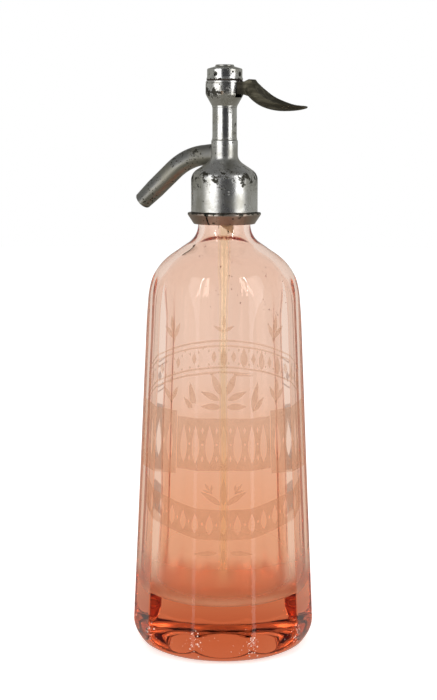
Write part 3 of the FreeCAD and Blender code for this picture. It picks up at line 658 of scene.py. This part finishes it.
def frosted(settings):
    """Thin acid-frosted skin of the etched design, unevenly bitten and deeper in colour lower down."""
    material, wiring, shader, _ = new_material("frosted_etching", roughness=0.75, specular_ior_level=0.1)
    uneven = wiring.noise(90.0, detail=5.0, roughness=0.65)
    grain = wiring.noise(1500.0, detail=2.0)
    upper = wiring.blend(uneven, rgba(settings.frost), rgba(settings.frost, 0.86))
    lower = (*[channel * share for channel, share in zip(settings.frost, ETCH_DEPTH)], 1)
    wiring.join(wiring.blend(wiring.span(wiring.axis("Z"), *ETCH_DEEPENS), upper, lower), shader, "Base Color")
    bitten = wiring.span(uneven, 0.25, 0.75, settings.cover * 0.75, settings.cover * 1.2)
    speckle = wiring.calc("MULTIPLY", wiring.calc("SUBTRACT", grain, 0.5), 0.25)
    wiring.join(wiring.calc("ADD", bitten, speckle), shader, "Alpha")
    return material


# Chips and marks on the glass, drawn flat as the etched design is

def fleck_shape(dice, across, up, size):
    """Small irregular chip, a jittered ring of six points."""
    return [Vector((across + size * dice.uniform(0.5, 1.2) * math.cos(k * math.pi / 3),
                    up + size * dice.uniform(0.5, 1.2) * math.sin(k * math.pi / 3))) for k in range(6)]


def chip_shapes(dice):
    """Chips crowded at the foot of each ridge, and a few loose ones between them."""
    pitch = 2 * math.pi / FACETS * ETCH_R
    chips = []
    for ridge in RIDGES:
        for _ in range(CHIPS_PER_RIDGE):
            across, up = (ridge + 0.5) * pitch + dice.gauss(0, CHIP_SPREAD), CHIP_Z + dice.gauss(0, CHIP_Z_SPREAD)
            up = min(max(up, CHIP_LOW), CHIP_HIGH)
            chips.append(fleck_shape(dice, across, up, 0.12 + 0.42 * dice.random() ** 3))
    for _ in range(LOOSE_CHIPS):
        chips.append(fleck_shape(dice, dice.uniform(-70, 70), 6 + 10 * dice.random(), 0.1 + 0.15 * dice.random()))
    return chips


def mark_shapes(dice):
    """Small clusters of marks on the shoulder."""
    marks = []
    for _ in range(MARK_CLUSTERS):
        across, up = dice.uniform(-24, 52), dice.uniform(186, 220)
        for _ in range(dice.randint(2, 6)):
            marks.append(fleck_shape(dice, across + dice.gauss(0, 1.4), up + dice.gauss(0, 2.6),
                                     0.2 + 0.4 * dice.random() ** 2))
    return marks


# Settings

def colour_property(name, description, default):
    """Colour setting."""
    return bpy.props.FloatVectorProperty(name=name, description=description, default=default, size=3,
                                         subtype="COLOR", min=0.0, max=1.0)


def number_property(name, description, default, low, high, **kind):
    """Number setting between two ends."""
    return bpy.props.FloatProperty(name=name, description=description, default=default, min=low, max=high, **kind)


class SIPHON_PG_glass(bpy.types.PropertyGroup):
    """Colours and relief of the bottle, tube and sleeve."""
    tint: colour_property("Face tint", "Tint of each upper face that light crosses", (0.922, 0.79, 0.715))
    low_tint: colour_property("Low tint", "Tint of the faces near the foot", (0.955, 0.675, 0.52))
    base_tint: colour_property("Base tint", "Tint of the faces of the solid base", (0.835, 0.42, 0.265))
    depth: colour_property("Depth colour", "Colour that thick glass takes", (0.87, 0.57, 0.385))
    density: number_property("Absorption", "How fast thick glass darkens, per metre", 30.0, 0.0, 200.0)
    haze: number_property("Cavity haze", "Roughness of the inner wall near the foot", 0.08, 0.0, 1.0,
                          subtype="FACTOR")
    gloss: number_property("Gloss", "Strength of the reflections that face the eye", 0.45, 0.0, 1.0,
                           subtype="FACTOR")
    crowd: number_property("Ridge crowding", "Share by which the mesh crowds at ridges", 0.62, 0.0, 0.9,
                           subtype="FACTOR")
    ripple: number_property("Cavity ripple", "Waver of the inner wall, in millimetres", 0.35, 0.0, 1.0)
    tube: colour_property("Tube tint", "Tint of the dip tube's glass", (0.97, 0.97, 0.89))
    rubber: colour_property("Sleeve rubber", "Colour of the slanted rubber sleeve", (0.92, 0.72, 0.46))


class SIPHON_PG_etching(bpy.types.PropertyGroup):
    """Colour and cover of the etched design, and the lift of all that lies on the glass."""
    frost: colour_property("Frost", "Colour of the etched skin", (0.48, 0.25, 0.14))
    cover: number_property("Cover", "How much the etched skin hides", 0.47, 0.0, 1.0, subtype="FACTOR")
    lift: number_property("Lift", "How far the skin lies off the glass, in millimetres", 0.04, 0.0, 0.5)


class SIPHON_PG_metal(bpy.types.PropertyGroup):
    """Colours of the worn metals."""
    nickel: colour_property("Nickel", "Bright nickel of the head", (0.66, 0.66, 0.655))
    # Olive film, also the colour of the painted shade on the fittings' downward faces
    tarnish_and_shade: colour_property("Tarnish", "Olive film on the nickel", (0.29, 0.275, 0.22))
    dark: colour_property("Bare patches", "Dark metal where the plating is gone", (0.07, 0.066, 0.055))
    ring: colour_property("Ring", "Worn metal of the neck ring", (0.46, 0.42, 0.37))
    lever: colour_property("Lever", "Dark brass of the thumb lever", (0.068, 0.061, 0.042))
    lever_light: colour_property("Lever streaks", "Rubbed streaks of the thumb lever", (0.15, 0.136, 0.098))


class SIPHON_PG_stage(bpy.types.PropertyGroup):
    """Camera and studio light."""
    distance: number_property("Camera distance", "From the bottle's axis to the camera", 0.85, 0.3, 5.0,
                              unit="LENGTH")
    height: number_property("Camera height", "Camera above the table", 0.283, 0.0, 2.0, unit="LENGTH")
    tilt: number_property("Camera tilt", "Camera's angle below level", math.radians(7.98), -1.5, 1.5,
                          unit="ROTATION")
    roll: number_property("Camera roll", "Turn about the line of sight", math.radians(0.15), -0.5, 0.5,
                          unit="ROTATION")
    yaw: number_property("Camera yaw", "Turn off the bottle's axis, to the left", math.radians(0.2), -0.5, 0.5,
                         unit="ROTATION")
    left_box: number_property("Left box", "Power of the left light box", 13.0, 0.0, 500.0, unit="POWER")
    right_box: number_property("Right box", "Power of the right light box", 10.5, 0.0, 500.0, unit="POWER")
    strip: number_property("High strips", "Power of each narrow light above", 7.0, 0.0, 100.0, unit="POWER")


# Stage

def pale_floor():
    """Round floor that the camera sees as white, and that lights the foot with its glow, dimmed near the bottle as a
    painted shadow.
    """
    clear_selection()
    bpy.ops.mesh.primitive_circle_add(vertices=96, radius=STAGE_R, fill_type="NGON", location=(0, 0, 0))
    floor = bpy.context.object
    floor.name = floor.data.name = "pale_floor"
    bpy.ops.object.mode_set(mode="EDIT")
    bpy.ops.mesh.select_all(action="SELECT")
    bpy.ops.mesh.extrude_region_move(TRANSFORM_OT_translate={"value": (0, 0, -STAGE_THICKNESS)})
    bpy.ops.mesh.select_all(action="SELECT")
    bpy.ops.mesh.normals_make_consistent(inside=False)
    bpy.ops.object.mode_set(mode="OBJECT")
    for vertex in floor.data.vertices:
        vertex.co.z = -STAGE_DROP if vertex.co.z > -STAGE_THICKNESS / 2 else -STAGE_THICKNESS
    paint, wiring, shader, output = new_material("pale_floor_paint", roughness=0.8)
    shader.inputs["Base Color"].default_value = (0.92, 0.92, 0.92, 1)
    shader.inputs["Emission Color"].default_value = WHITE
    shader.inputs["Emission Strength"].default_value = 0.5
    distance = wiring.add("VectorMath", {0: wiring.place()}, operation="LENGTH").outputs["Value"]
    # Painted shadow: the glow that other rays see is dimmer near the bottle and full far from it
    strength = wiring.span(wiring.calc("POWER", distance, 0.5), 0.25, 1.3, 0.9, 1.0)
    glow_with_painted_shadow = wiring.add("Emission", {"Color": WHITE, "Strength": strength})
    seen = wiring.add("LightPath").outputs["Is Camera Ray"]
    both = wiring.add("MixShader", {0: seen, 1: glow_with_painted_shadow.outputs[0], 2: shader.outputs[0]})
    wiring.join(both.outputs[0], output, "Surface")
    floor.data.materials.append(paint)
    floor.visible_glossy = False


def light_box(name, turn, distance, width, tall, height, power):
    """Upright rectangular light that faces the bottle's axis."""
    lamp = bpy.data.lights.new(name, "AREA")
    lamp.shape = "RECTANGLE"
    lamp.size, lamp.size_y, lamp.energy = width, tall, power
    box = bpy.data.objects.new(name, lamp)
    bpy.context.scene.collection.objects.link(box)
    box.location = around(math.radians(turn), 1, 0) * distance + Vector((0, 0, height))
    aim = Vector((0, 0, min(height, HIGHEST_AIM))) - box.location
    box.rotation_euler = aim.to_track_quat("-Z", "Y").to_euler()
    box.visible_camera = False
    return box


def studio_lights(settings):
    """Two tall boxes at the sides, and two high strips that light only the bottle's glass."""
    for name, turn, width, power in (("left_box", LEFT_BOX_TURN, LEFT_BOX_WIDTH, settings.left_box),
                                     ("right_box", RIGHT_BOX_TURN, RIGHT_BOX_WIDTH, settings.right_box)):
        light_box(name, VIEW_TURN + turn, BOX_DISTANCE, width, BOX_TALL, BOX_HEIGHT, power)
    lit_glass = bpy.data.collections.new("glass_lit_by_strips")
    lit_glass.objects.link(bpy.data.objects["pink_glass_bottle"])
    for name, turn in STRIPS:
        strip = light_box(name, VIEW_TURN + turn, STRIP_DISTANCE, STRIP_WIDTH, STRIP_TALL, STRIP_HEIGHT,
                          settings.strip)
        strip.light_linking.receiver_collection = lit_glass


def surroundings(scene):
    """White to the eye and through the glass, greyer and darker in front for reflections."""
    world = bpy.data.worlds.new("studio_room")
    scene.world = world
    world.use_nodes = True
    world.node_tree.nodes.clear()
    wiring = Wiring(world.node_tree)
    ray = wiring.add("LightPath").outputs
    seen = wiring.calc("MAXIMUM", ray["Is Camera Ray"], ray["Is Transmission Ray"])
    parts = wiring.add("SeparateXYZ", {0: wiring.add("TexCoord").outputs["Generated"]}).outputs
    front = heading(VIEW_TURN)
    ahead = wiring.calc("ADD", wiring.calc("MULTIPLY", parts["X"], front.x),
                        wiring.calc("MULTIPLY", parts["Y"], front.y))
    room = wiring.blend(wiring.span(ahead, -0.2, 0.9), (0.40, 0.40, 0.37, 1), (0.045, 0.045, 0.048, 1))
    high = wiring.blend(wiring.span(parts["Z"], 0.15, 0.9), room, (0.19, 0.19, 0.185, 1))
    low = wiring.blend(wiring.span(parts["Z"], -0.1, -0.6), high, (0.33, 0.32, 0.285, 1))
    mirror = wiring.add("Background", {"Color": low, "Strength": 1.0})
    plain = wiring.add("Background", {"Color": WHITE, "Strength": 0.75})
    white = wiring.add("Background", {"Color": WHITE, "Strength": 1.0})
    soft = wiring.add("MixShader", {0: ray["Is Glossy Ray"], 1: plain.outputs[0], 2: mirror.outputs[0]})
    whole = wiring.add("MixShader", {0: seen, 1: soft.outputs[0], 2: white.outputs[0]})
    wiring.add("OutputWorld", {"Surface": whole.outputs[0]})


def photo_camera(scene, settings):
    """Camera in front of the flat that faces it, a little above the shoulder and tilted down."""
    lens = bpy.data.cameras.new("photo_camera")
    lens.lens, lens.sensor_fit, lens.sensor_height = LENS_MM, "VERTICAL", SENSOR_MM
    lens.clip_start, lens.clip_end = 0.05, 20.0
    camera = bpy.data.objects.new("photo_camera", lens)
    scene.collection.objects.link(camera)
    turn = math.radians(VIEW_TURN + 90)
    camera.matrix_world = (
        Matrix.Translation((settings.distance * math.sin(turn), -settings.distance * math.cos(turn),
                            settings.height))
        @ Matrix.Rotation(turn + settings.yaw, 4, "Z")
        @ Matrix.Rotation(math.pi / 2 - settings.tilt, 4, "X")
        @ Matrix.Rotation(settings.roll, 4, "Z"))
    scene.camera = camera


# Operators

class SIPHON_OT_glass_bottle(bpy.types.Operator):
    """Turn the thick bottle, press its ten flats and give it pink glass"""
    bl_idname = "siphon.glass_bottle"
    bl_label = "Glass Bottle"

    def execute(self, context):
        settings = context.scene.siphon_glass
        outline = rounded(outside_corners() + cavity_corners(), ARC_STEP, LONGEST_EDGE)
        bottle = lathe("pink_glass_bottle", outline, steps=240, smooth_angle=80.0)
        shape_glass(bottle, settings.crowd, settings.ripple)
        bpy.ops.object.shade_smooth()
        carried(bottle, pink_glass(settings), "pink_glass", "glass_bottle")
        return {"FINISHED"}


class SIPHON_OT_etched_design(bpy.types.Operator):
    """Lay the etched bands, rules and sprigs on the bottle's front"""
    bl_idname = "siphon.etched_design"
    bl_label = "Etched Design"

    def execute(self, context):
        settings = context.scene.siphon_etching
        shapes = arched_row() + middle_band() + sagging_band() + foliage()
        design = wrap_on_glass(flat_drawing("etched_bands", shapes), settings.lift)
        carried(design, frosted(settings), "pink_glass")
        return {"FINISHED"}


class SIPHON_OT_bottle_wear(bpy.types.Operator):
    """Scatter chips along the ridges' feet and small dark marks on the shoulder"""
    bl_idname = "siphon.bottle_wear"
    bl_label = "Bottle Wear"

    def execute(self, context):
        dice = random.Random(WEAR_SEED)
        lift = context.scene.siphon_etching.lift
        chips, marks = chip_shapes(dice), mark_shapes(dice)
        white, wiring, shader, _ = new_material("chipped_edge", roughness=0.6)
        wiring.join(wiring.blend(wiring.noise(900.0), (0.95, 0.82, 0.74, 1), (0.8, 0.6, 0.5, 1)), shader,
                    "Base Color")
        wiring.join(wiring.span(wiring.noise(700.0), 0.3, 0.6, 0.45, 0.95), shader, "Alpha")
        carried(wrap_on_glass(flat_drawing("ridge_chips", chips), lift), white, "pink_glass")
        dark, wiring, shader, _ = new_material("shoulder_mark", roughness=0.5)
        wiring.join(wiring.blend(wiring.noise(900.0), (0.10, 0.03, 0.02, 1), (0.3, 0.12, 0.08, 1)), shader,
                    "Base Color")
        carried(wrap_on_glass(flat_drawing("shoulder_marks", marks), lift), dark, "pink_glass")
        return {"FINISHED"}


class SIPHON_OT_dip_tube(bpy.types.Operator):
    """Draw the dip tube and finish the slanted rubber sleeve that holds it"""
    bl_idname = "siphon.dip_tube"
    bl_label = "Dip Tube and Sleeve"

    def execute(self, context):
        settings = context.scene.siphon_glass
        corners = [(TUBE_BORE_R, TUBE_LOW, 0.6), (TUBE_R, TUBE_LOW, 0.6), (TUBE_R, TUBE_HIGH, 0.4),
                   (TUBE_BORE_R, TUBE_HIGH, 0.4)]
        outline = rounded(corners, arc_step=15.0, longest=12.0)
        tube = lathe("clear_dip_tube", outline, steps=64, smooth_angle=60.0)
        glass, wiring, shader, _ = new_material("tube_glass_finish", roughness=0.02, ior=GLASS_IOR,
                                                transmission_weight=1.0)
        shader.inputs["Base Color"].default_value = rgba(settings.tube)
        streaks = wiring.noise(1.0, wiring.stretched((300.0, 300.0, 20.0)))
        wiring.bump(shader, streaks, distance=0.03 * MM, strength=0.4)
        carried(tube, glass, "tube_glass", "dip_tube")
        rubber, wiring, shader, _ = new_material("sleeve_rubber", roughness=0.7)
        mottle = wiring.noise(220.0, detail=5.0, roughness=0.65)
        wiring.join(wiring.blend(mottle, rgba(settings.rubber), rgba(settings.rubber, 0.62)), shader,
                    "Base Color")
        wiring.bump(shader, wiring.noise(900.0), distance=0.06 * MM, strength=0.6)
        dress("tube_sleeve", rubber)
        return {"FINISHED"}


class SIPHON_OT_nickel_fittings(bpy.types.Operator):
    """Finish the head, spout, column, housing and cap as worn nickel"""
    bl_idname = "siphon.nickel_fittings"
    bl_label = "Nickel Fittings"

    def execute(self, context):
        metal = context.scene.siphon_metal
        shades = {"Bright": rgba(metal.nickel), "Dark": rgba(metal.dark), "Tarnish": rgba(metal.tarnish_and_shade)}
        for node, finish, *worn in FITTINGS:
            values = {**shades, **wear(*worn)}
            if node == "spout":
                values.update({"Bright": rgba(metal.nickel, SPOUT_SHADE), "Pit Scale": SPOUT_PIT_SCALE})
            dress(node, worn_metal(finish, **values))
        return {"FINISHED"}


class SIPHON_OT_neck_ring(bpy.types.Operator):
    """Finish the two halves of the neck ring as brown worn metal"""
    bl_idname = "siphon.neck_ring"
    bl_label = "Neck Ring"

    def execute(self, context):
        metal = context.scene.siphon_metal
        finish = worn_metal("ring_finish", Bright=rgba(metal.ring), Dark=rgba(metal.dark), Tarnish=RING_TARNISH_AND_SHADE,
                            **wear(*RING_WEAR))
        wiring = Wiring(finish.node_tree)
        shader = next(node for node in finish.node_tree.nodes if node.type == "BSDF_PRINCIPLED")
        worn = shader.inputs["Base Color"].links[0].from_socket
        across = wiring.add("VectorMath", {0: wiring.place(), 1: SEAM_SIDE}, operation="DOT_PRODUCT")
        frayed = wiring.calc("MULTIPLY", wiring.calc("SUBTRACT", wiring.noise(500.0), 0.5), SEAM_FRAY)
        off = wiring.calc("ABSOLUTE", wiring.calc("ADD", across.outputs["Value"], frayed))
        seam = wiring.calc("LESS_THAN", off, SEAM_HALF_WIDTH)
        wiring.join(wiring.blend(seam, worn, rgba(metal.dark, 0.3)), shader, "Base Color")
        for node in ("neck_ring_front", "neck_ring_rear"):
            dress(node, finish)
        return {"FINISHED"}


class SIPHON_OT_thumb_lever(bpy.types.Operator):
    """Finish the thumb lever as dark brass with rubbed streaks along it"""
    bl_idname = "siphon.thumb_lever"
    bl_label = "Thumb Lever"

    def execute(self, context):
        metal = context.scene.siphon_metal
        brass, wiring, shader, _ = new_material("dark_brass_finish", metallic=0.9)
        streak = wiring.noise(1.0, wiring.stretched((38.0, 420.0, 420.0)), detail=5.0, roughness=0.6,
                              distortion=0.3)
        pits = wiring.calc("LESS_THAN", wiring.cells(520.0), wiring.span(wiring.noise(150.0), 0.5, 0.8, 0.0, 0.3))
        colour = wiring.blend(wiring.span(streak, 0.42, 0.68), rgba(metal.lever), rgba(metal.lever_light))
        # Pits, and painted shade that darkens the lever towards its root in the housing
        pits_and_root_shade = wiring.calc("MAXIMUM", pits, wiring.span(wiring.axis("X"), 0.0165, 0.0125, 0.0, 0.85))
        wiring.join(wiring.blend(pits_and_root_shade, colour, (0.018, 0.016, 0.012, 1)), shader, "Base Color")
        wiring.join(wiring.span(streak, 0.3, 0.75, 0.58, 0.44), shader, "Roughness")
        wiring.bump(shader, wiring.calc("SUBTRACT", streak, pits), distance=0.08 * MM, strength=0.5)
        dress("lever", brass)
        return {"FINISHED"}


class SIPHON_OT_inner_parts(bpy.types.Operator):
    """Finish the seat, rod, bush, packing, washer, gasket, pin and spring"""
    bl_idname = "siphon.inner_parts"
    bl_label = "Inner Parts"

    def execute(self, context):
        turned = {"Tarnish": (0.25, 0.14, 0.05, 1), "Pits": 0.2, "Belt Wear": 0.0, "Sheen Low": 0.18,
                  "Sheen High": 0.3, "Underside_Shade": 0.2}
        brass = worn_metal("turned_brass", Bright=(0.62, 0.42, 0.16, 1), **turned)
        for node in ("valve_seat", "rod_bush", "piston_rod"):
            dress(node, brass)
        dress("lever_pin", worn_metal("pin_steel", Bright=(0.42, 0.41, 0.39, 1), **turned))
        dress("return_spring", worn_metal("spring_wire", Bright=(0.35, 0.34, 0.33, 1), **turned))
        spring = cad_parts["return_spring"]
        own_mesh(spring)
        for name, nodes, light, dark, scale in SOFT_PARTS:
            finish, wiring, shader, _ = new_material(name, roughness=0.72)
            mottle = wiring.noise(scale, detail=5.0, roughness=0.6)
            wiring.join(wiring.blend(mottle, light, dark), shader, "Base Color")
            wiring.bump(shader, mottle, distance=0.08 * MM, strength=0.7)
            for node in nodes:
                dress(node, finish)
        return {"FINISHED"}


class SIPHON_OT_stage(bpy.types.Operator):
    """Set the pale floor, the light boxes, the surroundings and the camera"""
    bl_idname = "siphon.stage"
    bl_label = "Studio Stage"

    def execute(self, context):
        scene = context.scene
        pale_floor()
        studio_lights(scene.siphon_stage)
        surroundings(scene)
        photo_camera(scene, scene.siphon_stage)
        scene.view_settings.view_transform = "Standard"
        paths = scene.cycles
        paths.max_bounces = paths.transmission_bounces = paths.glossy_bounces = LIGHT_BOUNCES
        return {"FINISHED"}


OPERATORS = (
    SIPHON_OT_glass_bottle, SIPHON_OT_etched_design, SIPHON_OT_bottle_wear, SIPHON_OT_dip_tube,
    SIPHON_OT_nickel_fittings, SIPHON_OT_neck_ring, SIPHON_OT_thumb_lever, SIPHON_OT_inner_parts, SIPHON_OT_stage,
)
SETTINGS = {
    "siphon_glass": SIPHON_PG_glass,
    "siphon_etching": SIPHON_PG_etching,
    "siphon_metal": SIPHON_PG_metal,
    "siphon_stage": SIPHON_PG_stage,
}


class SIPHON_PT_panel(bpy.types.Panel):
    """Buttons and settings of the siphon"""
    bl_label = "Soda Siphon"
    bl_idname = "SIPHON_PT_panel"
    bl_space_type = "VIEW_3D"
    bl_region_type = "UI"
    bl_category = "Siphon"

    def draw(self, context):
        for key in SETTINGS:
            box = self.layout.box()
            group = getattr(context.scene, key)
            for name in group.__annotations__:
                box.prop(group, name)
        for operator in OPERATORS:
            self.layout.operator(operator.bl_idname)


def register():
    for kind in (*SETTINGS.values(), *OPERATORS, SIPHON_PT_panel):
        bpy.utils.register_class(kind)
    for key, kind in SETTINGS.items():
        setattr(bpy.types.Scene, key, bpy.props.PointerProperty(type=kind))


def unregister():
    for key in SETTINGS:
        delattr(bpy.types.Scene, key)
    for kind in reversed((*SETTINGS.values(), *OPERATORS, SIPHON_PT_panel)):
        bpy.utils.unregister_class(kind)


def main():
    """Builds the whole dressed siphon."""
    register()
    bpy.ops.siphon.glass_bottle()
    bpy.ops.siphon.etched_design()
    bpy.ops.siphon.bottle_wear()
    bpy.ops.siphon.dip_tube()
    bpy.ops.siphon.nickel_fittings()
    bpy.ops.siphon.neck_ring()
    bpy.ops.siphon.thumb_lever()
    bpy.ops.siphon.inner_parts()
    bpy.ops.siphon.stage()


if __name__ == "__main__":
    main()
